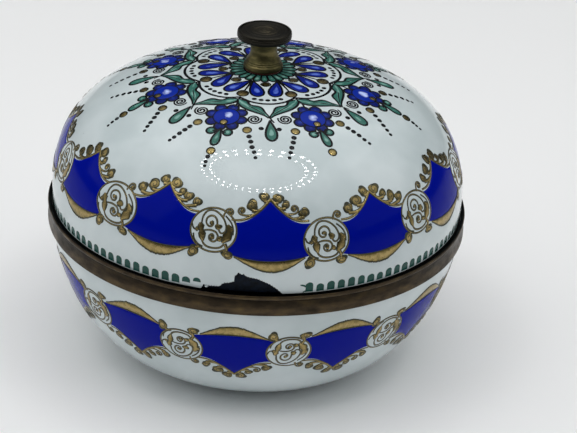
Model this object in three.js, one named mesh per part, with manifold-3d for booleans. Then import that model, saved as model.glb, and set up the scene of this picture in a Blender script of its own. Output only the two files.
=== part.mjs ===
// Round enamelled trinket box: a copper bowl and a copper lid, both enamelled inside and out,
// a soldered brass rim on the bowl and a turned brass knob screwed through the lid.
// Millimetres, +Z up. The origin is the middle of the bowl's flat base.
import * as THREE from "three";
import { mergeVertices } from "three/addons/utils/BufferGeometryUtils.js";
import Module from "manifold-3d";

const wasm = await Module();
wasm.setup();

// ---- Driving dimensions -------------------------------------------------------------------

const RIM_RADIUS = 60;          // outside of the brass rim, the widest part of the box
const RIM_TOP = 45;             // height of the bead that the lid stands inside
const RIM_BOTTOM = 39.3;        // lower edge of the brass band on the bowl
const BOWL_RADIUS = 59.1;       // bowl outside where it goes under the band
const BOWL_TOP = 43;            // raw top of the bowl's wall, hidden in the rim
const BASE_RADIUS = 27;         // flat that the box stands on
const LID_RADIUS = 58.7;        // lid outside at its widest
const LID_EDGE_RADIUS = 58.5;   // lid outside at its lower edge
const LID_EDGE = 45.2;          // height of the lid's lower edge
const LID_WIDEST = 49;          // height where the lid is widest
const LID_TOP = 84.5;           // crown of the lid, under the knob

const ENAMEL = 0.7;             // painted enamel outside
const COPPER = 0.8;             // copper sheet
const COUNTER_ENAMEL = 0.6;     // plain enamel inside
const FILM = 0.05;              // gap between two fused layers
const COPPER_DEPTH = ENAMEL + FILM;
const INSIDE_DEPTH = COPPER_DEPTH + COPPER + FILM;
const WALL = INSIDE_DEPTH + COUNTER_ENAMEL;

const COLLAR_RADIUS = 55.6;     // outside of the upright collar that centres the lid
const COLLAR_WALL = 0.8;
const COLLAR_TOP = 49;
const LEDGE_TOP = 44.9;         // flat ledge that the lid's edge rests on
const LEDGE_BOTTOM = 43.3;

const SCREW_RADIUS = 2;
const SCREW_HOLE = 2.3;         // clearance hole in everything the knob's screw passes through
const LID_HOLE = 2.6;
const KNOB_BASE = 85.05;        // underside of the knob's foot
const KNOB_NECK_TOP = 93;       // where the stem meets the head
const KNOB_TOP = 96.2;
const KNOB_RADIUS = 7.6;
const FOOT_RADIUS = 5.6;

const ROUND = 40;               // facets around the shells and the rim
const SMALL_ROUND = 24;         // facets around the knob's pieces
const CURVE_STEPS = 7;          // facets along a shell's outline

// ---- Materials ----------------------------------------------------------------------------

const finish = (color, roughness, metalness) =>
  new THREE.MeshStandardMaterial({ color, roughness, metalness });

const whiteEnamel = () => finish(0xd5dde2, 0.2, 0);
const rawCopper = () => finish(0xa8623f, 0.45, 1);
const agedBrass = () => finish(0x6f6546, 0.4, 1);
const darkBrass = () => finish(0x3c3931, 0.45, 1);
const cleanBrass = () => finish(0xa58f5a, 0.35, 1);
const limeCement = () => finish(0xb5aea0, 0.9, 0);
const redFibre = () => finish(0x7a3b2c, 0.8, 0);

// ---- Geometry helpers ---------------------------------------------------------------------

const at = (radius, height) => new THREE.Vector2(radius, height);

// A body of revolution about Z. The outline runs counter-clockwise seen with the axis on its
// left, so its faces point out; it starts and ends on the axis, or closes on itself.
function turned(outline, facets) {
  const geometry = new THREE.LatheGeometry(outline, facets);
  geometry.rotateX(Math.PI / 2);
  return geometry;
}

const closed = (outline) => [...outline, outline[0].clone()];

// Points on a curve, moved to its left by a depth: towards the axis and the inside of the box.
function parallel(curve, depth) {
  const points = [];
  for (let step = 0; step <= CURVE_STEPS; step += 1) {
    const t = step / CURVE_STEPS;
    const tangent = curve.getTangent(t);
    points.push(curve.getPoint(t).add(at(-tangent.y, tangent.x).multiplyScalar(depth)));
  }
  return points;
}

function solid(geometry) {
  const bare = geometry.clone();
  bare.deleteAttribute("normal");
  bare.deleteAttribute("uv");
  const merged = mergeVertices(bare, 1e-4);
  const mesh = new wasm.Mesh({
    numProp: 3,
    vertProperties: new Float32Array(merged.attributes.position.array),
    triVerts: new Uint32Array(merged.index.array),
  });
  return new wasm.Manifold(mesh);
}

function geometryOf(manifold) {
  const mesh = manifold.getMesh();
  const geometry = new THREE.BufferGeometry();
  geometry.setAttribute("position", new THREE.BufferAttribute(mesh.vertProperties, 3));
  geometry.setIndex(new THREE.BufferAttribute(mesh.triVerts, 1));
  return geometry;
}

function piece(name, geometry, material) {
  const mesh = new THREE.Mesh(geometry, material);
  mesh.name = name;
  return mesh;
}

// ---- The two shells -----------------------------------------------------------------------

// Bowl outside: from the edge of the flat base, out and up to the brass band.
const bowlCurve = new THREE.CubicBezierCurve(
  at(BASE_RADIUS, 0), at(47.1, 0), at(56.1, RIM_BOTTOM / 2), at(BOWL_RADIUS, RIM_BOTTOM));

// Lid outside: from its widest circle up and in to the crown.
const lidCurve = new THREE.CubicBezierCurve(
  at(LID_RADIUS, LID_WIDEST), at(LID_RADIUS, 76.2), at(33.7, LID_TOP), at(0, LID_TOP));

// One layer of the bowl, between two depths below its outside.
function bowlLayer(outer, inner) {
  return turned([
    at(0, outer),
    ...parallel(bowlCurve, outer),
    at(BOWL_RADIUS - outer, BOWL_TOP),
    at(BOWL_RADIUS - inner, BOWL_TOP),
    ...parallel(bowlCurve, inner).reverse(),
    at(0, inner),
  ], ROUND);
}

// One layer of the lid, pierced at the crown for the knob's screw.
function lidLayer(outer, inner) {
  const side = (depth) => [
    at(LID_EDGE_RADIUS - depth, LID_EDGE),
    ...parallel(lidCurve, depth).slice(0, -1),
    at(LID_HOLE, LID_TOP - depth),
  ];
  return turned(closed([...side(outer), ...side(inner).reverse()]), ROUND);
}

function bowl() {
  return [
    piece("bowl_enamel_outside", bowlLayer(0, ENAMEL), whiteEnamel()),
    piece("bowl_copper", bowlLayer(COPPER_DEPTH, COPPER_DEPTH + COPPER), rawCopper()),
    piece("bowl_enamel_inside", bowlLayer(INSIDE_DEPTH, WALL), whiteEnamel()),
  ];
}

function lid() {
  return [
    piece("lid_enamel_outside", lidLayer(0, ENAMEL), whiteEnamel()),
    piece("lid_copper", lidLayer(COPPER_DEPTH, COPPER_DEPTH + COPPER), rawCopper()),
    piece("lid_enamel_inside", lidLayer(INSIDE_DEPTH, WALL), whiteEnamel()),
  ];
}

// ---- The brass rim ------------------------------------------------------------------------

// Ledge and upright collar in one ring, with a leg that goes down inside the bowl's wall.
function rimGallery() {
  const inside = COLLAR_RADIUS - COLLAR_WALL;
  return turned(closed([
    at(inside, RIM_BOTTOM - 0.3),
    at(COLLAR_RADIUS, RIM_BOTTOM - 0.3),
    at(COLLAR_RADIUS, LEDGE_BOTTOM),
    at(RIM_RADIUS - 1.25, LEDGE_BOTTOM),
    at(RIM_RADIUS - 1.25, LEDGE_TOP),
    at(COLLAR_RADIUS, LEDGE_TOP),
    at(COLLAR_RADIUS, COLLAR_TOP - 0.3),
    at(COLLAR_RADIUS - 0.3, COLLAR_TOP),
    at(inside, COLLAR_TOP),
  ]), ROUND);
}

// Half-round wire along the outer edge of the ledge.
function rimBead() {
  const inside = RIM_RADIUS - 1.1;
  const bottom = RIM_TOP - 1.3;
  return turned(closed([
    at(inside, bottom),
    at(RIM_RADIUS - 0.4, bottom),
    at(RIM_RADIUS, bottom + 0.4),
    at(RIM_RADIUS, RIM_TOP - 0.4),
    at(RIM_RADIUS - 0.4, RIM_TOP),
    at(inside, RIM_TOP),
  ]), ROUND);
}

// Spun band around the top of the bowl's wall, a little thicker along its lower edge.
function rimBand() {
  const inside = BOWL_RADIUS + 0.15;
  return turned(closed([
    at(inside, RIM_BOTTOM),
    at(RIM_RADIUS, RIM_BOTTOM),
    at(RIM_RADIUS, RIM_BOTTOM + 1.1),
    at(RIM_RADIUS - 0.2, RIM_BOTTOM + 1.5),
    at(RIM_RADIUS - 0.2, RIM_TOP - 1.65),
    at(inside, RIM_TOP - 1.65),
  ]), ROUND);
}

// Lime cement that beds the rim's inner leg against the enamelled wall.
function rimCement() {
  const wallInside = BOWL_RADIUS - WALL;
  return turned(closed([
    at(COLLAR_RADIUS + 0.1, RIM_BOTTOM),
    at(wallInside - 0.1, RIM_BOTTOM + 0.4),
    at(wallInside - 0.1, LEDGE_BOTTOM - 0.1),
    at(COLLAR_RADIUS + 0.1, LEDGE_BOTTOM - 0.1),
  ]), ROUND);
}

function rim() {
  return [
    piece("rim_gallery", rimGallery(), cleanBrass()),
    piece("rim_bead", rimBead(), agedBrass()),
    piece("rim_band", rimBand(), agedBrass()),
    piece("rim_cement", rimCement(), limeCement()),
  ];
}

// ---- The knob and its fixing --------------------------------------------------------------

function washer(radius, bottom, top) {
  return turned(closed([
    at(SCREW_HOLE, bottom),
    at(radius, bottom),
    at(radius, top),
    at(SCREW_HOLE, top),
  ]), SMALL_ROUND);
}

// Foot, step and waisted stem, bored right through for the screw.
function knobStem() {
  return turned(closed([
    at(SCREW_HOLE, KNOB_BASE),
    at(FOOT_RADIUS - 0.5, KNOB_BASE),
    at(FOOT_RADIUS, KNOB_BASE + 0.5),
    at(FOOT_RADIUS - 0.15, KNOB_BASE + 1.2),
    at(4.95, KNOB_BASE + 1.6),
    at(4.75, KNOB_BASE + 2.4),
    at(4.2, KNOB_BASE + 3.3),
    at(3.85, KNOB_BASE + 4.4),
    at(3.75, KNOB_NECK_TOP),
    at(SCREW_HOLE, KNOB_NECK_TOP),
  ]), SMALL_ROUND);
}

// Flat round head with a rolled edge, tapped from below for the screw.
function knobHead() {
  const underside = KNOB_NECK_TOP + 0.05;
  const holeTop = KNOB_TOP - 0.9;
  return turned([
    at(0, holeTop),
    at(SCREW_HOLE, holeTop),
    at(SCREW_HOLE, underside),
    at(4.6, underside),
    at(KNOB_RADIUS - 1.1, underside + 0.25),
    at(KNOB_RADIUS - 0.2, underside + 0.9),
    at(KNOB_RADIUS, underside + 1.6),
    at(KNOB_RADIUS - 0.2, underside + 2.3),
    at(KNOB_RADIUS - 0.9, KNOB_TOP - 0.2),
    at(4, KNOB_TOP - 0.2),
    at(2.2, KNOB_TOP),
    at(0, KNOB_TOP),
  ], SMALL_ROUND);
}

// Slotted cheese-head screw from inside the lid, through the stem and into the head.
function knobScrew(headTop) {
  const headRadius = 3.6;
  const headHeight = 2.2;
  const headBottom = headTop - headHeight;
  const turnedScrew = turned([
    at(0, headBottom),
    at(headRadius - 0.3, headBottom),
    at(headRadius, headBottom + 0.3),
    at(headRadius, headTop),
    at(SCREW_RADIUS, headTop),
    at(SCREW_RADIUS, KNOB_TOP - 1.4),
    at(SCREW_RADIUS - 0.4, KNOB_TOP - 1),
    at(0, KNOB_TOP - 1),
  ], SMALL_ROUND);
  const slot = new THREE.BoxGeometry(4 * headRadius, 0.9, 2);
  slot.translate(0, 0, headBottom);
  return geometryOf(solid(turnedScrew).subtract(solid(slot)));
}

function knob() {
  const underLid = LID_TOP - WALL - 0.3;
  return [
    piece("knob_head", knobHead(), darkBrass()),
    piece("knob_stem", knobStem(), agedBrass()),
    piece("knob_seat_washer", washer(5.2, LID_TOP + 0.05, KNOB_BASE - 0.05), redFibre()),
    piece("knob_fibre_washer", washer(6.5, underLid - 0.7, underLid), redFibre()),
    piece("knob_brass_washer", washer(5.5, underLid - 1.4, underLid - 0.75), cleanBrass()),
    piece("knob_screw", knobScrew(underLid - 1.45), cleanBrass()),
  ];
}

// ---- Assembly -----------------------------------------------------------------------------

const box = new THREE.Group();
box.add(...bowl(), ...rim(), ...lid(), ...knob());

export default box;
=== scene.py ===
"""A round trinket box of enamelled copper: white glaze painted in cobalt, leaf green, black and gold,
a brown brass rim on the bowl and a turned brass knob on the lift-off lid.

Sizes are in millimetres, in the frame's own axes: +Z up, the front towards -Y. Pieces become metres
when their mesh is made. Azimuth is the angle round the box from the front, growing to the right.
"""
import math
from collections import namedtuple

import bmesh
import bpy
import numpy as np
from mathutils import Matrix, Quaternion, Vector


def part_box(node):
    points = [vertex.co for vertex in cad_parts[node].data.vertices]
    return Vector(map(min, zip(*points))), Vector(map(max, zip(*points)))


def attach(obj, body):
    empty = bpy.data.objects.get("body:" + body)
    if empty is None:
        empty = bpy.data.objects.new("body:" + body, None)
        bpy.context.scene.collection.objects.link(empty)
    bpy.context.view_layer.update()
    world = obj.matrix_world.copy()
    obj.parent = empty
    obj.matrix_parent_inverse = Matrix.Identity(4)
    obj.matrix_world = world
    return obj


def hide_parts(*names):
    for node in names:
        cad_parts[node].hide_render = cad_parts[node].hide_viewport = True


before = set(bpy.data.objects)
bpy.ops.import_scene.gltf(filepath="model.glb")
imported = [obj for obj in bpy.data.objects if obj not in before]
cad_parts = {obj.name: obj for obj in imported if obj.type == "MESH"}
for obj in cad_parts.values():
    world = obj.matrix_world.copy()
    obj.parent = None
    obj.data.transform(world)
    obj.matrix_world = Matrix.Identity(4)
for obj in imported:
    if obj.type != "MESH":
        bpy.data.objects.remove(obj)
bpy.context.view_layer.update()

# ---- Sizes ----

MM = 0.001


def span(node, axis):
    """A frame node's lowest and highest places along one axis, in millimetres."""
    return [corner[axis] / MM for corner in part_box(node)]


BEAD_BOTTOM, RIM_TOP = span("rim_bead", 2)
BAND_BOTTOM, BAND_TOP = span("rim_band", 2)
LID_EDGE, LID_TOP = span("lid_enamel_outside", 2)
STEM_BOTTOM, STEM_TOP = span("knob_stem", 2)
COLLAR_TOP, BOWL_TOP, HEAD_TOP = (
    span(node, 2)[1] for node in ("rim_gallery", "bowl_enamel_outside", "knob_head"))
RIM_RADIUS, LEDGE_RADIUS, BOWL_RADIUS, LID_RADIUS, HEAD_RADIUS = (
    span(node, 0)[1] for node in ("rim_bead", "rim_gallery", "bowl_enamel_outside",
                                  "lid_enamel_outside", "knob_head"))

LID_WIDEST = 49.0        # height at which the lid is widest
LID_EDGE_RADIUS = LID_RADIUS - 0.2
BASE_RADIUS = 27.0       # flat part of the bowl's base
ENAMEL = 0.7             # thickness of the outer glaze, then of the copper and the glaze inside
COPPER = 0.8
COUNTER = 0.6
FILM = 0.05              # air between coats, and between parts that touch
COPPER_DEPTH = ENAMEL + FILM
INSIDE_DEPTH = COPPER_DEPTH + COPPER + FILM
WALL = INSIDE_DEPTH + COUNTER
SCREW_HOLE = 2.3         # radius of the bore in the knob and its washers
LID_HOLE = 2.6           # the same in the lid
COLLAR_RADIUS = 55.6     # upright collar that the lid fits over
COLLAR_WALL = 0.8

LOBES = 8                # petals, leaves and flowers round the crown of the lid
LOBE_TURN = 4.8          # azimuth of the lobe nearest the front, in degrees
PANELS = 12              # cobalt panels round the lid, and round the bowl
TONGUES = 124            # green tongues along the lid's lower edge
BELT_RADIUS = 58.0       # radius at which distances round the lid and the bowl are measured
BEDDED = -0.03           # underside of a stroke, just inside the glaze
RELIEF = 0.07            # how far a stroke of enamel paint stands up
OUTLINE = 0.11           # the same for a line along the edge of a stroke
ON_GROUND = 0.05         # underside of a stroke that lies on other paint
HIGH = 0.14              # top of a stroke that lies on other paint
THICK = 0.22             # top of the thickest drops, in the middle of each flower

rng = np.random.default_rng(7)

# ---- Surfaces of the box ----


def bezier(corners, count):
    """Cubic Bezier curve in count points: its four corners weighted by the Bernstein terms."""
    t = np.linspace(0, 1, count)[:, None]
    a, b, c, d = (np.array(p, float) for p in corners)
    return (1 - t) ** 3 * a + 3 * (1 - t) ** 2 * t * b + 3 * (1 - t) * t ** 2 * c + t ** 3 * d


def beside(path, along=1.0, closed=False):
    """Unit vectors to the left of a path, square to it. along is the spacing of its points."""
    if closed:
        ahead = np.roll(path, -1, 0) - np.roll(path, 1, 0)
    else:
        ahead = np.gradient(path, along, axis=0)
    ahead /= np.linalg.norm(ahead, axis=1)[:, None]
    return np.stack([-ahead[:, 1], ahead[:, 0]], axis=1)


def around(radius, azimuth, height):
    """Points at that radius, azimuth and height. Azimuth 0 is at the front."""
    places = radius * np.sin(azimuth), -radius * np.cos(azimuth), height
    return np.stack(np.broadcast_arrays(*places), axis=-1)


def azimuth_steps(count):
    """Evenly spaced azimuths once round, in radians, starting at the front."""
    return np.linspace(0, 2 * math.pi, count, endpoint=False)


def front_degrees(azimuth):
    """An azimuth in degrees, from -180 to 180."""
    return np.degrees((azimuth + math.pi) % (2 * math.pi) - math.pi)


class Meridian:
    """The outside of a shell as a line of (radius, height), walked by its own length in mm."""

    def __init__(self, points):
        self.points = points
        self.along = np.concatenate([[0], np.cumsum(np.hypot(*np.diff(points, axis=0).T))])
        self.length = self.along[-1]
        self.outward = beside(points, self.along)

    def place(self, along, azimuth, lift):
        """Point at that length and azimuth, stepped off the surface by lift along its normal."""
        radius, height, out, up = (np.interp(along, self.along, line)
                                   for line in (*self.points.T, *self.outward.T))
        return around(radius + out * lift, azimuth, height + up * lift)


LID = Meridian(np.concatenate([
    bezier([(0, LID_TOP), (33.7, LID_TOP), (LID_RADIUS, 76.2), (LID_RADIUS, LID_WIDEST)], 400),
    [(LID_EDGE_RADIUS, LID_EDGE)],
]))
BOWL = Meridian(np.concatenate([
    [(BOWL_RADIUS, BOWL_TOP)],
    bezier([(BOWL_RADIUS, BAND_BOTTOM), (56.1, BAND_BOTTOM / 2), (47.1, 0), (BASE_RADIUS, 0)], 400),
    [(0, 0)],
]))


def crown(azimuth):
    """Canvas on the top of the lid. v runs out from the crown along that azimuth, u to its right."""
    return lambda u, v, lift: LID.place(np.hypot(u, v), azimuth + np.arctan2(u, v), lift)


def belt(meridian, azimuth, along, away, stretch=1.0):
    """Canvas on the side of the lid or bowl. u runs round the box, drawn out by stretch, and w
    runs away from the brass rim."""
    return lambda u, w, lift: meridian.place(along + away * w, azimuth + u * stretch / BELT_RADIUS,
                                             lift)

# ---- Meshes ----


def grid_faces(rows, columns, wrap_rows=False, wrap_columns=False):
    """Quads between the points of a grid that is numbered row by row."""
    i = np.arange(rows if wrap_rows else rows - 1)
    j = np.arange(columns if wrap_columns else columns - 1)
    i, j = (a.ravel() for a in np.meshgrid(i, j, indexing="ij"))
    below, right = (i + 1) % rows, (j + 1) % columns
    return np.stack([i * columns + j, i * columns + right, below * columns + right,
                     below * columns + j], axis=1)


def placed(name, data):
    """A new object in the scene, from its mesh, light or camera."""
    made = bpy.data.objects.new(name, data)
    bpy.context.scene.collection.objects.link(made)
    return made


def piece(name, points, faces, material, body, slot, node=None, shade=None, crease=35):
    """One object from points in millimetres, in place of a node if one is named. Doubles are
    merged, so poles and seams are closed, and the edge that a flattened face leaves along the
    axis is taken out."""
    mesh = bpy.data.meshes.new(name)
    mesh.from_pydata((np.asarray(points) * MM).tolist(), [], faces)
    if shade is not None:
        attribute = mesh.attributes.new("shade", "FLOAT", "POINT")
        attribute.data.foreach_set("value", np.asarray(shade, np.float32))
    work = bmesh.new()
    work.from_mesh(mesh)
    bmesh.ops.remove_doubles(work, verts=work.verts, dist=1e-7)
    loose = [edge for edge in work.edges if not edge.link_faces]
    bmesh.ops.delete(work, geom=loose, context="EDGES")
    bmesh.ops.recalc_face_normals(work, faces=work.faces)
    work.to_mesh(mesh)
    work.free()
    mesh.polygons.foreach_set("use_smooth", [True] * len(mesh.polygons))
    mesh.set_sharp_from_angle(angle=math.radians(crease))
    mesh.materials.append(material)
    made = placed(name, mesh)
    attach(made, body)
    if node:
        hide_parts(node)
    return made


def wrapped(name, points, *finish):
    """A piece from a grid of points whose rows and columns both run right round. finish is its
    material, body, slot and node."""
    faces = grid_faces(*points.shape[:2], wrap_rows=True, wrap_columns=True).tolist()
    return piece(name, points.reshape(-1, 3), faces, *finish)


def turned(name, outline, *finish, count=192):
    """Body of revolution: each point of a closed (radius, height) outline carried round the axis."""
    radius, height = np.asarray(outline, float).T[:, :, None]
    return wrapped(name, around(radius, azimuth_steps(count), height), *finish)


def rounded(corners, radius, steps=5, closed=True):
    """Outline with each corner replaced by a quadratic curve that starts radius before it and ends
    radius after it, or halfway along a shorter side. The ends of an open outline stay sharp."""
    corners = np.array(corners, float)
    t = np.linspace(0, 1, steps)[:, None]
    outline = []
    for before, corner, after in zip(np.roll(corners, 1, 0), corners, np.roll(corners, -1, 0)):
        start, end = (corner + (p - corner) * min(radius / np.linalg.norm(p - corner), 0.5)
                      for p in (before, after))
        outline.append((1 - t) ** 2 * start + 2 * t * (1 - t) * corner + t ** 2 * end)
    if not closed:
        outline[0] = corners[:1]
        outline[-1] = corners[-1:]
    return np.concatenate(outline)


def layer(name, meridian, start, end, outer, inner, azimuths, rows, *finish):
    """One coat of a shell, between two depths under its outside, walked from start to end. end may
    change with azimuth, which leaves the coat with an uneven edge."""
    share = np.linspace(0, 1, rows)[:, None]
    along = start + (np.broadcast_to(end, azimuths.shape) - start) * share
    outside = meridian.place(along, azimuths, -outer)
    inside = meridian.place(along[::-1], azimuths, -inner)
    wrapped(name, np.concatenate([outside, inside]), *finish)

# ---- Brushwork ----

ACROSS = np.array([-1, -0.6, 0, 0.6, 1])      # places across a stroke, from edge to edge
FULL = np.array([0, 0.8, 1, 0.8, 0])          # how high the paint stands at each of them


def stroke(path, left, right=None, base=BEDDED, top=RELIEF, closed=False):
    """A stroke of paint: a low rounded section carried along a path.

    At share c across, the paint lies c half-widths to the side and FULL(c) of the way from base
    up to top. Its underside is flat. Half-widths may change along the path, and differ to left
    and right.
    """
    path = np.asarray(path, float)
    rows, columns = len(path), len(ACROSS)
    left = np.broadcast_to(left, rows)
    right = left if right is None else np.broadcast_to(right, rows)
    aside = -ACROSS * np.where(ACROSS < 0, left[:, None], right[:, None])
    spots = path[:, None] + beside(path, closed=closed)[:, None] * aside[..., None]
    lift = base + (top - base) * np.broadcast_to(FULL, (rows, columns))
    points = np.concatenate([spots, lift[..., None]], axis=-1).reshape(-1, 3)
    faces = grid_faces(rows, columns, wrap_rows=closed, wrap_columns=True).tolist()
    if not closed:
        ends = np.arange(rows * columns).reshape(rows, columns)[[0, -1]]
        faces += ends.tolist()
    return points, faces, np.tile(FULL, rows)


def drop(outline, centre, base=BEDDED, top=RELIEF, rings=(1, 0.9, 0.7, 0.35)):
    """A drop of paint: the outline drawn in towards a centre. At share q of the way out it stands
    sqrt(1 - q^2) of the way from base up to top, as a bead of liquid does."""
    outline, centre = np.asarray(outline, float), np.asarray(centre, float)
    count = len(outline)
    rise = [math.sqrt(1 - q * q) for q in rings]
    parts = [np.column_stack([centre + (outline - centre) * q,
                              np.full(count, base + (top - base) * up)])
             for q, up in zip(rings, rise)]
    points = np.concatenate([*parts, [[*centre, top]]])
    faces = grid_faces(len(rings), count, wrap_columns=True).tolist()
    inner, peak = (len(rings) - 1) * count, len(points) - 1
    faces += [[inner + j, inner + (j + 1) % count, peak] for j in range(count)]
    faces.append(list(range(count)))
    return points, faces, np.append(np.repeat(rise, count), 1)


def circle(centre, radius, count=24, squash=1.0):
    """Points round a circle, or round an ellipse whose second half-axis is squash times as long."""
    t = azimuth_steps(count)
    return np.stack([centre[0] + radius * np.cos(t), centre[1] + radius * squash * np.sin(t)], 1)


def dot(centre, radius, count=12, squash=1.0, base=BEDDED, top=RELIEF):
    """A round spot of paint."""
    return drop(circle(centre, radius, count, squash), centre, base, top, rings=(1, 0.7))


def blot(centre, radius, squash=1.0, base=BEDDED, top=RELIEF):
    """A spot of paint with an uneven edge: a circle whose radius has two seeded waves in it."""
    t = azimuth_steps(20)
    first, second = rng.uniform(0, 2 * math.pi, 2)
    wave = 1 + 0.14 * np.sin(2 * t + first) + 0.1 * np.sin(3 * t + second)
    outline = np.stack([np.cos(t), squash * np.sin(t)], 1) * (radius * wave)[:, None]
    return drop(outline + centre, centre, base, top, rings=(1, 0.85, 0.5))


def ring(outline, half_width, base=BEDDED, top=OUTLINE):
    """A line painted along a closed outline."""
    return stroke(outline, half_width, base=base, top=top, closed=True)


def flat_patch(u, w, base=BEDDED, top=RELIEF):
    """A broad patch of paint over a grid of flat places, level on top. Its outermost cells, which
    are narrow, fall to base, and a second grid is its underside."""
    rows, columns = u.shape
    lift = np.full(u.shape, top)
    lift[[0, -1], :] = lift[:, [0, -1]] = base
    shade = np.where(lift < top, 0.0, 1.0)
    upper = np.stack([u, w, lift], axis=-1).reshape(-1, 3)
    lower = np.stack([u, w, np.full(u.shape, base)], axis=-1).reshape(-1, 3)
    faces = grid_faces(rows, columns)
    both = np.concatenate([faces, faces + rows * columns]).tolist()
    return np.concatenate([upper, lower]), both, np.tile(shade.ravel(), 2)


def edged(count):
    """Shares from 0 to 1, evenly spaced apart from a narrow step at either end."""
    return np.concatenate([[0], np.linspace(0.006, 0.994, count), [1]])


def teardrop(tip, end, half_width, count=28):
    """Outline pointed at tip and round at end. With t once round, it lies -cos(t) half-lengths
    along its axis and 1.25 sin(t) times sin(t/2) to the power 1.5 half-widths across."""
    t = azimuth_steps(count)
    axis = (end - tip) / 2
    side = np.array([-axis[1], axis[0]]) / np.linalg.norm(axis)
    across = np.sin(t) * np.sin(t / 2) ** 1.5 * 1.25 * half_width
    return (tip + end) / 2 - np.cos(t)[:, None] * axis + across[:, None] * side


def spiral(centre, radius, turns, start, inner=0.2, count=46):
    """Spiral path whose radius grows evenly from inner to radius as its angle turns from start."""
    t = np.linspace(0, 1, count)
    angle = math.radians(start) + 2 * math.pi * turns * t
    reach = inner + (radius - inner) * t
    return np.stack([centre[0] + reach * np.cos(angle), centre[1] + reach * np.sin(angle)], 1)


def through(*points, count=24):
    """Smooth path through a few points: a Catmull-Rom curve, sampled evenly in each span."""
    points = np.array(points, float)
    padded = np.concatenate([[2 * points[0] - points[1]], points, [2 * points[-1] - points[-2]]])
    spans = len(points) - 1
    place = np.linspace(0, spans, count)
    span = np.minimum(place.astype(int), spans - 1)
    t = (place - span)[:, None]
    a, b, c, d = (padded[span + i] for i in range(4))
    return 0.5 * (2 * b + (c - a) * t + (2 * a - 5 * b + 4 * c - d) * t ** 2
                  + (3 * b - a - 3 * c + d) * t ** 3)


def brushed(count, width, tail=0.6):
    """Half-widths of a stroke that starts at a quarter of its width, is full a ninth of the way
    along, and thins with the square of the length towards tail."""
    t = np.linspace(0, 1, count)
    return width * np.minimum(0.25 + t / 0.15, 1) * (1 - (1 - tail) * t ** 2)


class Paint:
    """Strokes and drops of one colour, gathered into one piece."""

    def __init__(self):
        self.points, self.faces, self.shade, self.count = [], [], [], 0

    def lay(self, canvas, shape):
        """Puts one stroke or drop on the box: canvas turns its flat places into points in space."""
        points, faces, shade = shape
        self.points.append(canvas(points[:, 0], points[:, 1], points[:, 2]))
        self.faces += [[corner + self.count for corner in face] for face in faces]
        self.shade.append(shade)
        self.count += len(points)

    def make(self, name, material, body):
        """The finished piece."""
        piece(name, np.concatenate(self.points), self.faces, material, body, "outer_enamel",
              shade=np.concatenate(self.shade), crease=60)

# ---- Materials ----


def linear(code):
    """An sRGB hex colour as linear red, green, blue and alpha."""
    parts = [int(code[i:i + 2], 16) / 255 for i in (1, 3, 5)]
    return [p / 12.92 if p <= 0.04045 else ((p + 0.055) / 1.055) ** 2.4 for p in parts] + [1.0]


def per_mm(size):
    """Texture scale, in repeats for each metre, of a pattern that is size millimetres across."""
    return 1 / (size * MM)


def add(tree, kind, inputs=None, settings=None, stops=(), into=None):
    """Adds one node. inputs are its sockets, each given a value, another node's output, or a node
    whose first output is meant; settings are its properties; stops are the places and colours of
    a ramp; into is the socket that its own first output feeds."""
    made = tree.nodes.new("ShaderNode" + kind)
    for key, value in (settings or {}).items():
        setattr(made, key, value)
    for key, value in (inputs or {}).items():
        if isinstance(value, bpy.types.Node):
            value = value.outputs[0]
        if isinstance(value, bpy.types.NodeSocket):
            tree.links.new(value, made.inputs[key])
        else:
            made.inputs[key].default_value = value
    for i, (place, colour) in enumerate(stops):
        element = made.color_ramp.elements
        stop = element[i] if i < 2 else element.new(place)
        stop.position = place
        stop.color = linear(colour)
    if into is not None:
        tree.links.new(made.outputs[0], into)
    return made


def surface(name, **values):
    """A new material with its shader's own sockets set, and its node tree and shader."""
    material = bpy.data.materials.new(name)
    material.use_nodes = True
    shader = material.node_tree.nodes["Principled BSDF"]
    for key, value in values.items():
        shader.inputs[key.replace("_", " ")].default_value = value
    return material, material.node_tree, shader


def noise(tree, size, detail=2.0, roughness=0.5, squeeze=None):
    """Noise of one size in millimetres on Object coordinates, squeezed along each axis."""
    place = add(tree, "TexCoord").outputs["Object"]
    if squeeze:
        place = add(tree, "Mapping", {"Vector": place, "Scale": squeeze})
    return add(tree, "TexNoise", {"Vector": place, "Scale": per_mm(size), "Detail": detail,
                                  "Roughness": roughness}).outputs["Fac"]


def raised(tree, shader, *layers):
    """Bump on the shader from (height, depth in millimetres) layers, each on top of the last."""
    inputs = {"Strength": 1.0}
    for height, depth in layers:
        inputs |= {"Height": height, "Distance": depth * MM}
        inputs["Normal"] = add(tree, "Bump", inputs)
    tree.links.new(inputs["Normal"].outputs[0], shader.inputs["Normal"])


def speckled(tree, shader, clouds, specks, share):
    """Colours a glaze: clouds of two tones, multiplied in part by specks."""
    mixed = add(tree, "Mix", {0: share, 6: clouds, 7: specks},
                {"data_type": "RGBA", "blend_type": "MULTIPLY"})
    tree.links.new(mixed.outputs[2], shader.inputs["Base Color"])


def white_vitreous_enamel():
    """Opaque white enamel, brushed on and fired: glassy, its skin slightly dimpled like orange
    peel, which breaks up reflections; faint grey clouds and a few pinholes show in the white."""
    material, tree, shader = surface("white_vitreous_enamel_fired", Roughness=0.035, IOR=1.5)
    clouds = add(tree, "ValToRGB", {"Fac": noise(tree, 16, detail=3)},
                 stops=[(0.35, "#C5D1D3"), (0.65, "#D5DFE1")])
    place = add(tree, "TexCoord").outputs["Object"]
    cells = add(tree, "TexVoronoi", {"Vector": place, "Scale": per_mm(7)}).outputs["Distance"]
    pinholes = add(tree, "ValToRGB", {"Fac": cells}, stops=[(0.012, "#8E959A"), (0.03, "#FFFFFF")])
    speckled(tree, shader, clouds, pinholes, 0.5)
    raised(tree, shader, (noise(tree, 2.4, detail=1), 0.012), (noise(tree, 12, detail=0), 0.05))
    return material


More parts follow.
